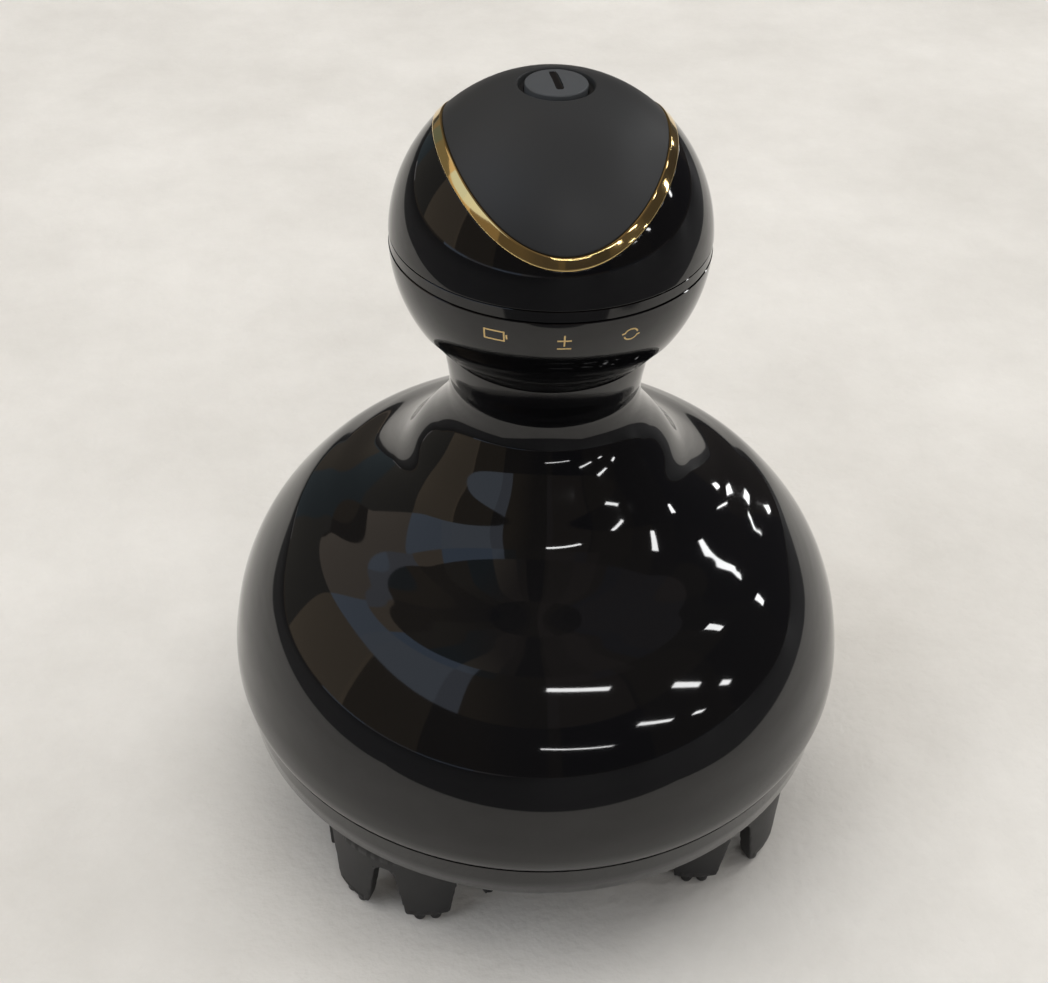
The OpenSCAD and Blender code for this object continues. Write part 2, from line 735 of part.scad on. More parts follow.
// ---- charging pad at the back
pad_z = seam_z + pad_up;
pad_y = tuck_r(seam_z) - 1.2;
module pad_block(w, h, y1) {
    translate([0, 0, pad_z]) rotate([-90, 0, 0]) translate([0, 0, pad_y]) {
        for (s = [-1, 1]) translate([s * (w - h) / 2, 0, 0]) cylinder(r = h / 2, h = y1 - pad_y);
        translate([-(w - h) / 2, -h / 2, 0]) cube([w - h, h, y1 - pad_y]);
    }
}
pad_t = 0.8;
module charging_pad() {
    color([0.05, 0.05, 0.05]) difference() {
        pad_block(pad_w, pad_h, pad_y + pad_t);
        for (s = [-1, 1]) translate([s * contact_pitch / 2, pad_y - 1, pad_z])
            rotate([-90, 0, 0]) cylinder(r = contact_r, h = 4);
    }
}
module charging_contacts() {
    color([0.85, 0.66, 0.28]) for (s = [-1, 1])
        translate([s * contact_pitch / 2, pad_y, pad_z]) rotate([-90, 0, 0])
            cylinder(r = contact_r, h = pad_t);
}

dome_shell();
base_shell();
body_seal();
collar();
grip_lower_shell();
grip_band();
grip_upper_shell();
trim_ring();
soft_cap();
button_gasket();
power_button();
tact_switch();
switch_board();
battery_cradle();
battery_cell();
main_board();
board_chips();
gear_deck();
motor_can();
motor_pinion();
reduction_gear();
reduction_axle();
spindle_bushes();
spindle_seals();
case_screws();
deck_screws();
charging_pad();
charging_contacts();
spindle(0);  // spindle_1
spindle(1);  // spindle_2
spindle(2);  // spindle_3
spindle(3);  // spindle_4
output_gear(0);  // output_gear_1
output_gear(1);  // output_gear_2
output_gear(2);  // output_gear_3
output_gear(3);  // output_gear_4
head_hub(0);  // head_hub_1
head_hub(1);  // head_hub_2
head_hub(2);  // head_hub_3
head_hub(3);  // head_hub_4
claw_head(0);  // claw_head_1
claw_head(1);  // claw_head_2
claw_head(2);  // claw_head_3
claw_head(3);  // claw_head_4
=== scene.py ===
"""Cordless scalp massager: a gloss body and ball grip that stand on soft claw heads."""

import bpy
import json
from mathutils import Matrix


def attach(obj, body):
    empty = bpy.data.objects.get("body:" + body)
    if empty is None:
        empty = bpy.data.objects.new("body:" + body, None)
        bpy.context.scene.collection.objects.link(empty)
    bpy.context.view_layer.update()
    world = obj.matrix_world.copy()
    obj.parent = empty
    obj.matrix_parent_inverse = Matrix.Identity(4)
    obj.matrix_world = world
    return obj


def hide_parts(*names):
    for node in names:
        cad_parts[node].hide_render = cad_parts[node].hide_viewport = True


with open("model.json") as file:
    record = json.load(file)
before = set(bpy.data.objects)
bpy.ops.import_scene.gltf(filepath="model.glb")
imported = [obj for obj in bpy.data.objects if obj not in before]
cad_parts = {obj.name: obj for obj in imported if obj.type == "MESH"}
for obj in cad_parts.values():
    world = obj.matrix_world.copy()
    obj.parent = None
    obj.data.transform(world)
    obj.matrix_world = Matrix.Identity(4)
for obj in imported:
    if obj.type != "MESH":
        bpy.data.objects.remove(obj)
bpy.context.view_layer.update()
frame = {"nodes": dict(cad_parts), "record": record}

import json
import math
import bpy
from mathutils import Matrix, Vector

# ---- Camera
# Stands in front, a little to the left, and looks down at the object. Its place, its roll
# and its focal length, in pixels of the photograph's frame, follow the object's outline.
MM = 0.001
frame_w, focal = 1048, 1500
sight = Vector((0.0698, 0.7705, -0.6335)).normalized()
level = sight.cross(Vector((0, 0, 1))).normalized()
upward = level.cross(sight)
roll = -0.02967
right = level * math.cos(roll) - upward * math.sin(roll)
top = level * math.sin(roll) + upward * math.cos(roll)
bpy.ops.object.camera_add(location=(0, 0, 0))
camera = bpy.context.object
camera.name = "camera"
camera.matrix_world = Matrix.Translation((-22.10 * MM, -210.27 * MM, 237.4 * MM)) @ Matrix(
    (right, top, -sight)).transposed().to_4x4()
camera.data.sensor_fit = "HORIZONTAL"
camera.data.sensor_width = 36
camera.data.lens = camera.data.sensor_width * focal / frame_w
camera.data.clip_start = 0.01
bpy.context.scene.camera = camera
bpy.context.scene.view_settings.view_transform = "Standard"

# ---- Floor
# A sheet of pale packing foam, big enough for the object and a little room round it,
# laid on a plain grey table.


def plain_tone(name, dark, light, spread, rough, grain, relief):
    """A material between two tones that drift into each other, with a fine relief."""
    made = bpy.data.materials.new(name)
    made.use_nodes = True
    nodes, links = made.node_tree.nodes, made.node_tree.links
    shader = nodes["Principled BSDF"]
    shader.inputs["Roughness"].default_value = rough
    place = nodes.new("ShaderNodeTexCoord")
    drift, bead = nodes.new("ShaderNodeTexNoise"), nodes.new("ShaderNodeTexNoise")
    drift.inputs["Scale"].default_value = spread
    drift.inputs["Detail"].default_value = 7
    drift.inputs["Roughness"].default_value = 0.68
    bead.inputs["Scale"].default_value = grain
    bead.inputs["Detail"].default_value = 4
    tone = nodes.new("ShaderNodeValToRGB")
    tone.color_ramp.elements[0].position = 0.32
    tone.color_ramp.elements[0].color = (*dark, 1)
    tone.color_ramp.elements[1].position = 0.68
    tone.color_ramp.elements[1].color = (*light, 1)
    bump = nodes.new("ShaderNodeBump")
    bump.inputs["Strength"].default_value = relief
    bump.inputs["Distance"].default_value = 0.6 * MM
    for noise in (drift, bead):
        links.new(place.outputs["Object"], noise.inputs["Vector"])
    links.new(drift.outputs["Fac"], tone.inputs["Fac"])
    links.new(tone.outputs["Color"], shader.inputs["Base Color"])
    links.new(bead.outputs["Fac"], bump.inputs["Height"])
    links.new(bump.outputs["Normal"], shader.inputs["Normal"])
    return made


def flat_sheet(name, corners, z, material):
    """A level sheet with its corners in metres, in order."""
    bpy.ops.object.select_all(action="DESELECT")
    bpy.ops.mesh.primitive_circle_add(vertices=len(corners), fill_type="NGON")
    made = bpy.context.object
    made.name = name
    for v, (x, y) in zip(made.data.vertices, corners):
        v.co = (x, y, z)
    bpy.ops.object.mode_set(mode="EDIT")
    bpy.ops.mesh.normals_make_consistent(inside=False)
    bpy.ops.object.mode_set(mode="OBJECT")
    made.data.materials.append(material)


flat_sheet("foam_sheet",
           ((-0.20, -0.173), (0.13, -0.173), (0.36, 0.10), (0.70, 1.20), (-0.80, 1.20), (-0.40, 0.12)), 0,
           plain_tone("pale_foam", (0.665, 0.645, 0.605), (0.775, 0.755, 0.715), 14, 0.7, 420, 0.5))
flat_sheet("table", ((-6, -6), (6, -6), (6, 6), (-6, 6)), -0.002,
           plain_tone("table_grey", (0.10, 0.10, 0.105), (0.13, 0.13, 0.13), 6, 0.6, 200, 0.2))

# ---- Room and lamps
# A dim room of upright blocks, such as shelves, boards and doors: greyish brown on the
# right and behind the camera, with paler boards on the left. Broad soft lamps light the
# object, and short ceiling tubes show in the gloss.
world = bpy.data.worlds.new("room")
bpy.context.scene.world = world
world.use_nodes = True
nodes, links = world.node_tree.nodes, world.node_tree.links
place, split = nodes.new("ShaderNodeTexCoord"), nodes.new("ShaderNodeSeparateXYZ")
bearing, height = nodes.new("ShaderNodeMath"), nodes.new("ShaderNodeMath")
blocks_at = nodes.new("ShaderNodeCombineXYZ")
bearing.operation, height.operation = "ARCTAN2", "ARCSINE"
links.new(place.outputs["Generated"], split.inputs["Vector"])
links.new(split.outputs["X"], bearing.inputs[0])
links.new(split.outputs["Y"], bearing.inputs[1])
links.new(split.outputs["Z"], height.inputs[0])
links.new(bearing.outputs[0], blocks_at.inputs["X"])
links.new(height.outputs[0], blocks_at.inputs["Y"])
tint = {}
for name, width, row in (("large", 0.85, 0.46), ("small", 0.34, 0.80)):
    blocks = nodes.new("ShaderNodeTexBrick")
    blocks.offset, blocks.squash, blocks.squash_frequency = 0.37, 1.6, 3
    blocks.inputs["Color1"].default_value = (0, 0, 0, 1)
    blocks.inputs["Color2"].default_value = (1, 1, 1, 1)
    blocks.inputs["Scale"].default_value = 1
    blocks.inputs["Mortar Size"].default_value = 0
    blocks.inputs["Brick Width"].default_value = width
    blocks.inputs["Row Height"].default_value = row
    links.new(blocks_at.outputs["Vector"], blocks.inputs["Vector"])
    tint[name] = blocks.outputs["Color"]
shade = nodes.new("ShaderNodeMix")
shade.data_type = "RGBA"
shade.inputs["Factor"].default_value = 0.28
links.new(tint["large"], shade.inputs["A"])
links.new(tint["small"], shade.inputs["B"])
side, both = nodes.new("ShaderNodeMapRange"), nodes.new("ShaderNodeMix")
both.data_type = "RGBA"
side.inputs["From Min"].default_value = -0.42
side.inputs["From Max"].default_value = -0.16
links.new(split.outputs["X"], side.inputs["Value"])
links.new(side.outputs["Result"], both.inputs["Factor"])
# the boards on the left take the first row of tones, and all the rest the second
for socket, tones in (("A", ((0.0, (0.03, 0.03, 0.035)), (0.30, (0.20, 0.16, 0.115)), (0.48, (0.10, 0.14, 0.16)),
                             (0.62, (0.62, 0.48, 0.33)), (0.80, (0.50, 0.66, 0.92)), (1.0, (0.80, 0.86, 0.95)))),
                      ("B", ((0.0, (0.03, 0.03, 0.04)), (0.35, (0.10, 0.085, 0.07)), (0.60, (0.17, 0.14, 0.125)),
                             (0.85, (0.09, 0.10, 0.13)), (1.0, (0.26, 0.22, 0.19))))):
    ramp = nodes.new("ShaderNodeValToRGB")
    for k, (at, colour) in enumerate(tones):
        stop = ramp.color_ramp.elements[k] if k < 2 else ramp.color_ramp.elements.new(at)
        stop.position = at
        stop.color = (*colour, 1)
    links.new(shade.outputs["Result"], ramp.inputs["Fac"])
    links.new(ramp.outputs["Color"], both.inputs[socket])
links.new(both.outputs["Result"], nodes["Background"].inputs["Color"])


def lamp(name, place, aim, size, power, colour=(1, 1, 1)):
    """A soft lamp at a place in metres, turned to a point it lights. The gloss doesn't show it."""
    bpy.ops.object.light_add(type="AREA", location=place)
    made = bpy.context.object
    made.name = name
    made.rotation_euler = (Vector(aim) - Vector(place)).to_track_quat("-Z", "Y").to_euler()
    made.data.shape = "RECTANGLE"
    made.data.size, made.data.size_y = size
    made.data.energy = power
    made.data.color = colour
    made.visible_glossy = False


lamp("broad_lamp", (0.2, 0.5, 1.6), (0, 0.05, 0), (2.0, 2.0), 26, (1, 0.985, 0.955))
lamp("side_lamp", (-0.9, -0.2, 1.1), (0, 0, 0.07), (0.9, 0.9), 5)
ceiling, tube_light = 2.0, 20


def tube(number, start, end):
    """A ceiling tube between two places on the ceiling, wider the further off it is."""
    run = Vector((end[0] - start[0], end[1] - start[1], 0))
    bpy.ops.object.light_add(type="AREA", location=((start[0] + end[0]) / 2, (start[1] + end[1]) / 2, ceiling))
    made = bpy.context.object
    made.name = "tube_%d" % number
    made.rotation_euler = (0, 0, math.atan2(run.y, run.x))
    made.data.shape = "RECTANGLE"
    width = 0.06 + 0.03 * made.location.length
    made.data.size, made.data.size_y = run.length, width
    made.data.energy = tube_light * run.length * width * math.pi


for number, (start, end) in enumerate((((0.0, -2.2), (1.15, -2.3)), ((3.0, -2.5), (4.5, -2.7)),
                                       ((6.6, -2.9), (8.2, -3.1)), ((2.2, -0.25), (3.2, -0.45)),
                                       ((1.95, 1.0), (2.7, 1.02)), ((2.8, -4.4), (4.8, -4.9)),
                                       ((6.6, -5.1), (8.0, -5.4)), ((-0.3, -6.6), (3.0, -7.4)),
                                       ((3.6, 3.2), (4.2, 3.0)), ((3.9, 3.9), (4.6, 5.0)),
                                       ((5.0, 0.9), (8.0, 1.2)), ((6.5, 6.0), (8.5, 8.0)))):
    tube(number, start, end)

# ---- Dome
# One moulded shell of glossy black plastic, wide and low, that sweeps up into a slightly
# undercut waist. Its lower edge stands just above the base on a thin seal.
body_r, seam_r, waist_r = 57.6, 56.6, 17.6
seam_z, wide_z, waist_z, body_wall, seam_gap, edge_round = 28.0, 32.0, 99.0, 2.6, 0.4, 0.25
# each knot: how far out from the waist's radius, and how far up from the widest level
dome_shape = [(1.000, 0.000), (0.987, 0.085), (0.938, 0.200), (0.840, 0.318),
              (0.680, 0.434), (0.535, 0.493), (0.360, 0.545), (0.218, 0.612),
              (0.117, 0.693), (0.030, 0.761), (-0.018, 0.817), (-0.030, 0.866), (-0.024, 0.909),
              (-0.012, 0.955), (0.000, 1.000)]


def turned(name, outline, steps=256):
    """A closed outline of (radius, height) in millimetres, spun round the body's axis."""
    bpy.ops.object.select_all(action="DESELECT")
    bpy.ops.mesh.primitive_circle_add(vertices=3, radius=MM)
    made = bpy.context.object
    made.name = name
    bpy.ops.object.mode_set(mode="EDIT")
    bpy.ops.mesh.select_all(action="SELECT")
    bpy.ops.mesh.merge(type="CENTER")
    bpy.ops.transform.translate(value=(outline[0][0] * MM, 0, outline[0][1] * MM))
    for (r0, z0), (r1, z1) in zip(outline, outline[1:] + outline[:1]):
        bpy.ops.mesh.extrude_region_move(
            TRANSFORM_OT_translate={"value": ((r1 - r0) * MM, 0, (z1 - z0) * MM)})
    bpy.ops.mesh.select_all(action="SELECT")
    bpy.ops.mesh.remove_doubles(threshold=1e-7)
    bpy.ops.mesh.spin(steps=steps, angle=2 * math.pi, center=(0, 0, 0), axis=(0, 0, 1))
    bpy.ops.mesh.select_all(action="SELECT")
    bpy.ops.mesh.remove_doubles(threshold=1e-6)
    bpy.ops.mesh.delete_loose()
    bpy.ops.mesh.select_all(action="SELECT")
    bpy.ops.mesh.normals_make_consistent(inside=False)
    bpy.ops.object.mode_set(mode="OBJECT")
    bpy.ops.object.shade_smooth_by_angle(angle=math.radians(32))
    return made


def dress(piece, body, slot, material, *nodes_replaced):
    """Gives a new piece its finish and its body, and hides the CAD nodes that it stands for."""
    piece.data.materials.clear()
    piece.data.materials.append(material)
    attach(piece, body)
    if nodes_replaced:
        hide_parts(*nodes_replaced)


def dome_knot(k):
    """A knot of the dome's outline in millimetres; past its ends the line runs on."""
    if k < 0:
        return Vector((dome_knot(1)[0], 2 * wide_z - dome_knot(1)[1]))
    if k >= len(dome_shape):
        return 2 * dome_knot(k - 1) - dome_knot(k - 2)
    return Vector((waist_r + (body_r - waist_r) * dome_shape[k][0],
                   wide_z + (waist_z - wide_z) * dome_shape[k][1]))


def dome_line(wall, spans):
    """Points of the smooth line through the knots, set in by a wall."""
    line = []
    for k in range(len(dome_shape) - 1):
        a, b, c, d = (dome_knot(k + i) for i in (-1, 0, 1, 2))
        for i in range(spans):
            t = i / spans
            at = 0.5 * (2 * b + (c - a) * t + (2 * a - 5 * b + 4 * c - d) * t * t
                        + (3 * b - a - 3 * c + d) * t ** 3)
            way = ((c - a) + 2 * (2 * a - 5 * b + 4 * c - d) * t
                   + 3 * (3 * b - a - 3 * c + d) * t * t).normalized()
            line.append((at[0] - way[1] * wall, at[1] + way[0] * wall))
    return line + [(waist_r - wall, waist_z)]


def tuck(z):
    """Radius of the body between the seam and its widest level."""
    return seam_r + (body_r - seam_r) * (1 - ((wide_z - z) / (wide_z - seam_z)) ** 2)


low = seam_z + seam_gap / 2
outside = [(tuck(low) - edge_round, low), (tuck(low + 0.08) - 0.08, low + 0.07)] + [
    (tuck(z), z) for z in (low + edge_round + i * (wide_z - low - edge_round) / 10 for i in range(10))]
outside += dome_line(0, 14)
inside = [(max(r, waist_r - body_wall), z) for r, z in dome_line(body_wall, 3)][::-1]
inside += [(tuck(low) - body_wall, low)]
dome = turned("dome", outside + inside)
# the seat of the charging pad, sunk into the back: a round cutter drawn out to the sides
pad_round, pad_reach, pad_z, pad_cut = 3.0, 4.5, 35.0, 6.0
bpy.ops.object.select_all(action="DESELECT")
bpy.ops.mesh.primitive_cylinder_add(vertices=64, radius=pad_round * MM, depth=pad_cut * MM,
                                    location=(0, (body_r + 0.8) * MM, pad_z * MM), rotation=(math.pi / 2, 0, 0))
cutter = bpy.context.object
for v in cutter.data.vertices:
    v.co.x += math.copysign(pad_reach * MM, v.co.x) if abs(v.co.x) > 1e-6 else 0
bpy.context.view_layer.objects.active = dome
cut = dome.modifiers.new("pad_seat", "BOOLEAN")
cut.object = cutter
bpy.ops.object.modifier_apply(modifier="pad_seat")
bpy.data.objects.remove(cutter)


def film_group():
    """Fine unevenness of a handled surface: its roughness from place to place, and its relief."""
    group = bpy.data.node_groups.new("handled_surface", "ShaderNodeTree")
    for label, value in (("Scale", 40.0), ("Roughness", 0.1), ("Spread", 0.03)):
        group.interface.new_socket(label, in_out="INPUT", socket_type="NodeSocketFloat").default_value = value
    group.interface.new_socket("Roughness", in_out="OUTPUT", socket_type="NodeSocketFloat")
    group.interface.new_socket("Height", in_out="OUTPUT", socket_type="NodeSocketFloat")
    nodes, links = group.nodes, group.links
    given, put = nodes.new("NodeGroupInput"), nodes.new("NodeGroupOutput")
    place = nodes.new("ShaderNodeTexCoord")
    broad, fine = nodes.new("ShaderNodeTexNoise"), nodes.new("ShaderNodeTexNoise")
    broad.inputs["Detail"].default_value = 5
    fine.inputs["Detail"].default_value = 3
    finer = nodes.new("ShaderNodeMath")
    finer.operation = "MULTIPLY"
    finer.inputs[1].default_value = 24
    swing, spread, total = (nodes.new("ShaderNodeMath") for _ in range(3))
    swing.operation, spread.operation, total.operation = "SUBTRACT", "MULTIPLY", "ADD"
    swing.inputs[1].default_value = 0.5
    links.new(place.outputs["Object"], broad.inputs["Vector"])
    links.new(place.outputs["Object"], fine.inputs["Vector"])
    links.new(given.outputs["Scale"], broad.inputs["Scale"])
    links.new(given.outputs["Scale"], finer.inputs[0])
    links.new(finer.outputs[0], fine.inputs["Scale"])
    links.new(broad.outputs["Fac"], swing.inputs[0])
    links.new(swing.outputs[0], spread.inputs[0])
    links.new(given.outputs["Spread"], spread.inputs[1])
    links.new(spread.outputs[0], total.inputs[0])
    links.new(given.outputs["Roughness"], total.inputs[1])
    links.new(total.outputs[0], put.inputs["Roughness"])
    links.new(fine.outputs["Fac"], put.inputs["Height"])
    return group


handled = film_group()


def finish(name, colour, rough, spread, scale, relief, metallic=0.0):
    """A material whose roughness and relief vary as its real finish does."""
    made = bpy.data.materials.new(name)
    made.use_nodes = True
    nodes, links = made.node_tree.nodes, made.node_tree.links
    shader = nodes["Principled BSDF"]
    shader.inputs["Base Color"].default_value = (*colour, 1)
    shader.inputs["Metallic"].default_value = metallic
    film = nodes.new("ShaderNodeGroup")
    film.node_tree = handled
    film.inputs["Scale"].default_value = scale
    film.inputs["Roughness"].default_value = rough
    film.inputs["Spread"].default_value = spread
    bump = nodes.new("ShaderNodeBump")
    bump.inputs["Strength"].default_value = relief
    bump.inputs["Distance"].default_value = 0.02 * MM
    links.new(film.outputs["Roughness"], shader.inputs["Roughness"])
    links.new(film.outputs["Height"], bump.inputs["Height"])
    links.new(bump.outputs["Normal"], shader.inputs["Normal"])
    return made


gloss = finish("gloss_black", (0.004, 0.004, 0.0045), 0.045, 0.04, 60, 0.01)
dress(dome, "housing", "gloss_shell", gloss, "dome_shell")

# ---- Base
# A second gloss moulding closes the body below the seam and is screwed up into the dome.
# Its floor is bored for the spindles and screws, and a thin black seal fills the shadow
# line above it.


def own_copy(node, name):
    """A solid's form as a new piece, its loose triangles joined up."""
    bpy.ops.object.select_all(action="DESELECT")
    source = frame["nodes"][node]
    made = bpy.data.objects.new(name, source.data.copy())
    bpy.context.scene.collection.objects.link(made)
    made.select_set(True)
    bpy.context.view_layer.objects.active = made
    bpy.ops.object.mode_set(mode="EDIT")
    bpy.ops.mesh.select_all(action="SELECT")
    bpy.ops.mesh.remove_doubles(threshold=1e-6)
    bpy.ops.object.mode_set(mode="OBJECT")
    return made


base = own_copy("base_shell", "base")
bpy.ops.object.shade_smooth_by_angle(angle=math.radians(32))
dress(base, "housing", "gloss_shell", gloss, "base_shell")
seal_rubber = finish("seal_rubber", (0.010, 0.010, 0.010), 0.6, 0.1, 90, 0.2)

# ---- Ball grip
# Two shells of the same gloss plastic meet at a narrow band; the collar under them joins
# the waist. The upper shell is cut to a saddle, which the gold trim and the soft cap follow.
grip_r, grip_z, grip_wall, collar_z1 = 25.9, 117.7995, 2.6, 104.6
band_z0, band_z1, band_groove = 117.1995, 119.3995, 0.5


def ball_line(r, z0, z1, count):
    """Points up a ball's outline between two levels."""
    a0, a1 = (math.asin((z - grip_z) / r) for z in (z0, z1))
    levels = [a0 + (a1 - a0) * i / count for i in range(count + 1)]
    return [(r * math.cos(a), grip_z + r * math.sin(a)) for a in levels]


collar = turned("grip_collar", ball_line(grip_r - 0.25, waist_z, collar_z1, 24)
                + [(waist_r - body_wall, collar_z1), (waist_r - body_wall, waist_z)])
dress(collar, "housing", "gloss_shell", gloss, "collar")
lower = turned("grip_lower", [(ball_line(grip_r, collar_z1, band_z0, 40)[0][0] - 0.12, collar_z1)]
               + ball_line(grip_r, collar_z1 + 0.12, band_z0 - 0.08, 40)
               + [(grip_r - 0.12, band_z0)]
               + ball_line(grip_r - grip_wall, collar_z1, band_z0, 6)[::-1])
dress(lower, "housing", "gloss_shell", gloss, "grip_lower_shell")
band_r, line_h, line_top, line_soft = grip_r - 0.1, 0.2, 0.27, 0.06
band = turned("grip_band", [
    (grip_r - grip_wall, band_z0), (band_r - band_groove, band_z0), (band_r - band_groove, band_z0 + line_h),
    (band_r - line_soft, band_z0 + line_h), (band_r, band_z0 + line_top), (band_r, band_z1 - line_top),
    (band_r - line_soft, band_z1 - line_h), (band_r - band_groove, band_z1 - line_h),
    (band_r - band_groove, band_z1), (grip_r - grip_wall, band_z1)])
dress(band, "housing", "gloss_shell", gloss, "grip_band")


def saddle_edge(side, front):
    """How high the saddle cut stands on the ball at each bearing, as an elevation."""
    zs, zf, y = grip_r * math.sin(side), grip_r * math.sin(front), grip_r * math.cos(front)
    drop = zs - zf
    rad = (y * y + drop * drop) / (2 * drop)

    def at(bearing):
        lo, hi = 0.0, math.pi / 2
        for _ in range(40):
            mid = (lo + hi) / 2
            across, over = grip_r * math.cos(mid) * math.sin(bearing), grip_r * math.sin(mid) - zs + rad
            if across ** 2 + over ** 2 < rad * rad:
                lo = mid
            else:
                hi = mid
        return lo
    return at


ring_steps = 256


def ball_piece(name, low_edge, high_edge, outer, wall, rows, round_off):
    """A closed ring of the ball's wall between two edges, its outer corners rounded."""
    across = rows + 1 + 4  # the rows outside, then four points on the edges and inside
    bpy.ops.object.select_all(action="DESELECT")
    bpy.ops.mesh.primitive_torus_add(major_segments=ring_steps, minor_segments=across,
                                     major_radius=0.02, minor_radius=0.002)
    made = bpy.context.object
    made.name = name
    for i in range(ring_steps):
        bearing = 2 * math.pi * i / ring_steps
        e0, e1 = low_edge(bearing), high_edge(bearing)
        section = []
        for j in range(rows + 1):
            t = j / rows
            e = e0 + (e1 - e0) * (0.5 - 0.5 * math.cos(math.pi * t))
            near = min(e - e0, e1 - e) * outer
            sunk = round_off - math.sqrt(max(0, round_off ** 2 - max(0, round_off - near) ** 2))
            section.append((e, outer - sunk))
        section += [(e1, outer - wall * 0.5), (e1, outer - wall), (e0, outer - wall), (e0, outer - wall * 0.5)]
        for j, (e, r) in enumerate(section):
            made.data.vertices[i * across + j].co = (r * math.cos(e) * math.cos(bearing) * MM,
                                                     r * math.cos(e) * math.sin(bearing) * MM,
                                                     (grip_z + r * math.sin(e)) * MM)
    bpy.ops.object.mode_set(mode="EDIT")
    bpy.ops.mesh.select_all(action="SELECT")
    bpy.ops.mesh.normals_make_consistent(inside=False)
    bpy.ops.object.mode_set(mode="OBJECT")
    bpy.ops.object.shade_smooth_by_angle(angle=math.radians(32))
    return made


cap_side, cap_front, trim_side, trim_front = (math.radians(a) for a in (48.6, 21.7, 44.0, 17.1))
cap_edge, trim_edge = saddle_edge(cap_side, cap_front), saddle_edge(trim_side, trim_front)
above_band = math.asin((band_z1 - grip_z) / grip_r)
upper = ball_piece("grip_upper", lambda b: above_band, trim_edge, grip_r, grip_wall, 60, 0.1)
dress(upper, "housing", "gloss_shell", gloss, "grip_upper_shell")

# ---- Gold trim
# A moulded ring with a polished gold plating, pressed in between the upper shell and the
# cap, and a hair proud of both.
gold = finish("polished_gold", (0.90, 0.66, 0.28), 0.06, 0.04, 120, 0.02, metallic=1.0)
trim = ball_piece("gold_trim_ring", trim_edge, cap_edge, grip_r + 0.15, grip_wall + 0.15, 20, 0.3)
dress(trim, "housing", "gold_trim", gold, "trim_ring")

# ---- Soft cap
# A cap with a matte soft-touch skin closes the top of the ball inside the gold ring, and
# is open in the middle for the button.
soft = finish("soft_touch_black", (0.024, 0.025, 0.026), 0.5, 0.06, 70, 0.12)
recess_r = 5.9
recess = math.acos(recess_r / grip_r)
cap = ball_piece("grip_cap", cap_edge, lambda b: recess, grip_r, grip_wall, 60, 0.25)
dress(cap, "housing", "soft_touch", soft, "soft_cap")

# ---- Power button
# A round key with a matte soft-touch skin, in a deep ring groove. It is pressed down
# towards the switch below, and a bar is sunk into its top, its pit painted in the shell's gloss black as shade.
gasket_z0 = grip_z + math.sqrt((grip_r - grip_wall) ** 2 - recess_r ** 2)
button_r, crown_r, key_foot = 4.8, 4.5, 1.2
bar_w, bar_l, bar_mid, bar_turn = 1.3, 7.0, 0.4, math.radians(6.4)
button_ball = grip_r - 0.1
crown = [(r, grip_z + math.sqrt(button_ball ** 2 - r * r)) for r in (crown_r - crown_r * i / 16 for i in range(16))]
top_z, rim_top = grip_z + button_ball, crown[0][1]
key = turned("power_key", [(0, gasket_z0 - key_foot), (button_r, gasket_z0 - key_foot),
                           (button_r, rim_top - 0.25), (button_r - 0.04, rim_top - 0.12),
                           (button_r - 0.14, rim_top - 0.03)] + crown + [(0, top_z)], 128)
# the bar's cutter is a soft-edged block laid a little off the middle
bpy.ops.object.select_all(action="DESELECT")
bpy.ops.mesh.primitive_cube_add(size=1, location=(0, 0, 0))
cutter = bpy.context.object
bpy.ops.object.mode_set(mode="EDIT")
bpy.ops.transform.resize(value=(bar_w * MM, bar_l * MM, 1.4 * MM))
bpy.ops.mesh.bevel(offset=0.45 * MM, segments=6)
bpy.ops.transform.translate(value=(0, bar_mid * MM, (top_z + 0.3) * MM))
bpy.ops.object.mode_set(mode="OBJECT")
cutter.rotation_euler.z = bar_turn
bpy.context.view_layer.objects.active = key
cut = key.modifiers.new("bar", "BOOLEAN")
cut.object = cutter
bpy.ops.object.modifier_apply(modifier="bar")
bpy.data.objects.remove(cutter)
key_soft = finish("key_black", (0.066, 0.071, 0.076), 0.36, 0.06, 70, 0.1)
dress(key, "button", "soft_touch", key_soft, "power_button")
# the bar's floor and sides, which lie below the crown, take the shell's gloss black: painted shade in the pit, and
# glossy
key.data.materials.append(gloss)
for face in key.data.polygons:
    at = face.center / MM
    off = math.hypot(at.x, at.y)
    sunk = off < crown_r - 0.1 and at.z < grip_z + math.sqrt(button_ball ** 2 - off * off) - 0.08
    face.material_index = 1 if sunk and at.z > top_z - 1.5 else 0

# ---- Printed signs
# Battery, plus and minus, and two chasing arrows, printed in gold on the lower shell just
# under the band. Each is a thin film of ink that follows the ball.
ink_w, ink_t, ink_lift = 0.26, 0.03, 0.012
sign_apart, sign_level = math.radians(23.5), math.radians(-9.0)
print_gold = finish("printed_gold", (0.72, 0.53, 0.25), 0.34, 0.1, 200, 0.1, metallic=0.8)


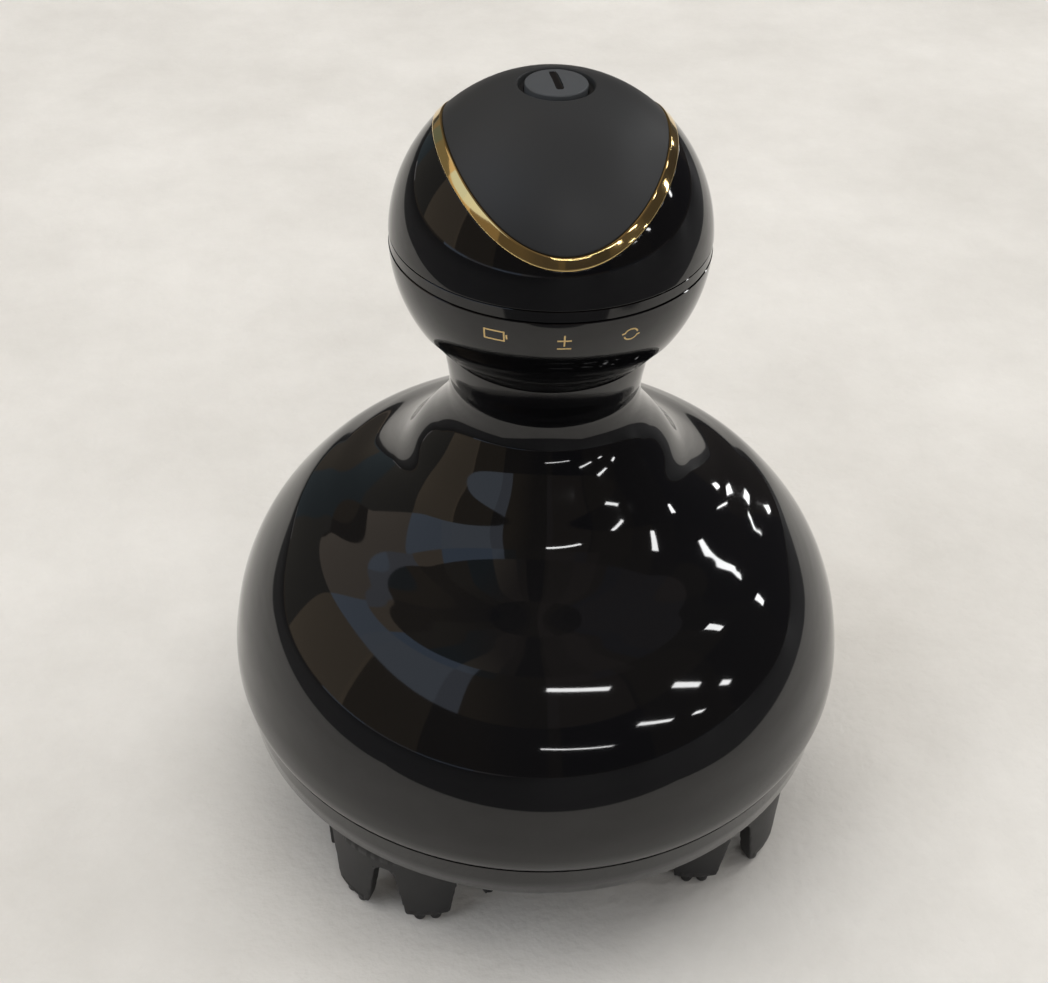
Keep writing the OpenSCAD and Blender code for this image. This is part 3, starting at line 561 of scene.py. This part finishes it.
def sign(name, bearing, strokes):
    """Strokes in millimetres, each ((x0, y0), (x1, y1)), laid on the ball at a bearing."""
    bpy.ops.object.select_all(action="DESELECT")
    bars = []
    for (x0, y0), (x1, y1) in strokes:
        bpy.ops.mesh.primitive_grid_add(x_subdivisions=8, y_subdivisions=2, size=1)
        bar = bpy.context.object
        turn, long = math.atan2(y1 - y0, x1 - x0), math.hypot(x1 - x0, y1 - y0)
        for v in bar.data.vertices:
            u, w = v.co.x * (long + ink_w * 0.6), v.co.y * ink_w
            v.co = ((x0 + x1) / 2 + u * math.cos(turn) - w * math.sin(turn),
                    (y0 + y1) / 2 + u * math.sin(turn) + w * math.cos(turn), 0)
        bars.append(bar)
    for bar in bars:
        bar.select_set(True)
    bpy.context.view_layer.objects.active = bars[0]
    bpy.ops.object.join()
    made = bpy.context.object
    made.name = name
    for v in made.data.vertices:
        b, e = bearing + v.co.x / (grip_r * math.cos(sign_level)), sign_level + v.co.y / grip_r
        r = grip_r + ink_lift
        v.co = (r * math.cos(e) * math.sin(b) * MM, -r * math.cos(e) * math.cos(b) * MM,
                (grip_z + r * math.sin(e)) * MM)
    wall = made.modifiers.new("ink", "SOLIDIFY")
    wall.thickness = ink_t * MM
    bpy.ops.object.modifier_apply(modifier="ink")
    dress(made, "housing", "gold_trim", print_gold)


sign("sign_battery", -sign_apart, [
    ((-1.7, 1.2), (1.4, 1.2)), ((-1.7, -0.5), (1.4, -0.5)), ((-1.7, -0.5), (-1.7, 1.2)),
    ((1.4, -0.5), (1.4, 1.2)), ((1.8, 0.0), (1.8, 0.7))])
sign("sign_plus_minus", 0, [((-1.0, 0.4), (1.0, 0.4)), ((0, -0.6), (0, 1.35)), ((-1.0, -1.15), (1.0, -1.15))])
arcs = []
for start in (20, 200):
    turns = [math.radians(start + 14 * i) for i in range(11)]
    points = [(1.15 * math.cos(a), math.sin(a)) for a in turns]
    tip, lean = points[-1], turns[-1] + 0.5
    points.append((tip[0] + 0.4 * math.cos(lean), tip[1] + 0.4 * math.sin(lean)))
    arcs += zip(points, points[1:])
sign("sign_arrows", sign_apart, arcs)

# ---- Claw heads
# Cups of black silicone whose fingers end in small balls, pushed onto the hubs. The
# moulding has soft edges, so each head is made from the solid's form with its edges eased.
silicone = finish("claw_silicone", (0.010, 0.010, 0.011), 0.48, 0.08, 120, 0.2)
for k in (1, 2, 3, 4):
    head = own_copy("claw_head_%d" % k, "claws_%d" % k)
    head.data.remesh_voxel_size = 0.42 * MM
    bpy.ops.object.voxel_remesh()
    ease = head.modifiers.new("eased_edges", "SMOOTH")
    ease.factor, ease.iterations = 0.5, 3
    bpy.ops.object.modifier_apply(modifier="eased_edges")
    bpy.ops.object.shade_smooth()
    dress(head, "head_drive_%d" % k, "claw_silicone", silicone, "claw_head_%d" % k)

# ---- Inner pieces and small parts
# Drive, boards, cell and cradle, screws, seals, hubs and charging pad are of moulded
# plastic, steel, brass and rubber, and are screwed or pressed in place. They keep their
# solids' forms, and each takes the finish of its slot.
steel = finish("ground_steel", (0.55, 0.55, 0.56), 0.3, 0.1, 150, 0.1, metallic=1.0)
brass = finish("machined_brass", (0.68, 0.49, 0.22), 0.28, 0.1, 150, 0.1, metallic=1.0)
acetal = finish("gear_acetal", (0.72, 0.70, 0.64), 0.4, 0.08, 120, 0.1)
board = finish("board_green", (0.01, 0.09, 0.035), 0.3, 0.08, 150, 0.15)
dark = finish("moulded_black", (0.015, 0.015, 0.015), 0.5, 0.08, 120, 0.15)
frame_grey = finish("moulded_grey", (0.42, 0.42, 0.40), 0.5, 0.08, 100, 0.15)
wrap = finish("cell_wrap", (0.02, 0.08, 0.25), 0.25, 0.06, 90, 0.05)
by_slot = {"gloss_shell": gloss, "gold_trim": gold, "soft_touch": soft, "seal_rubber": seal_rubber,
           "switch_plastic": dark, "circuit_board": board, "inner_frame": frame_grey, "cell_wrap": wrap,
           "motor_steel": steel, "pinion_brass": brass, "gear_plastic": acetal, "bright_steel": steel,
           "hub_plastic": dark, "claw_silicone": silicone}
for row in frame["record"]["subparts"]:
    node = frame["nodes"][row["node"]]
    node.data.materials.clear()
    node.data.materials.append(by_slot[row["material_slot"]])
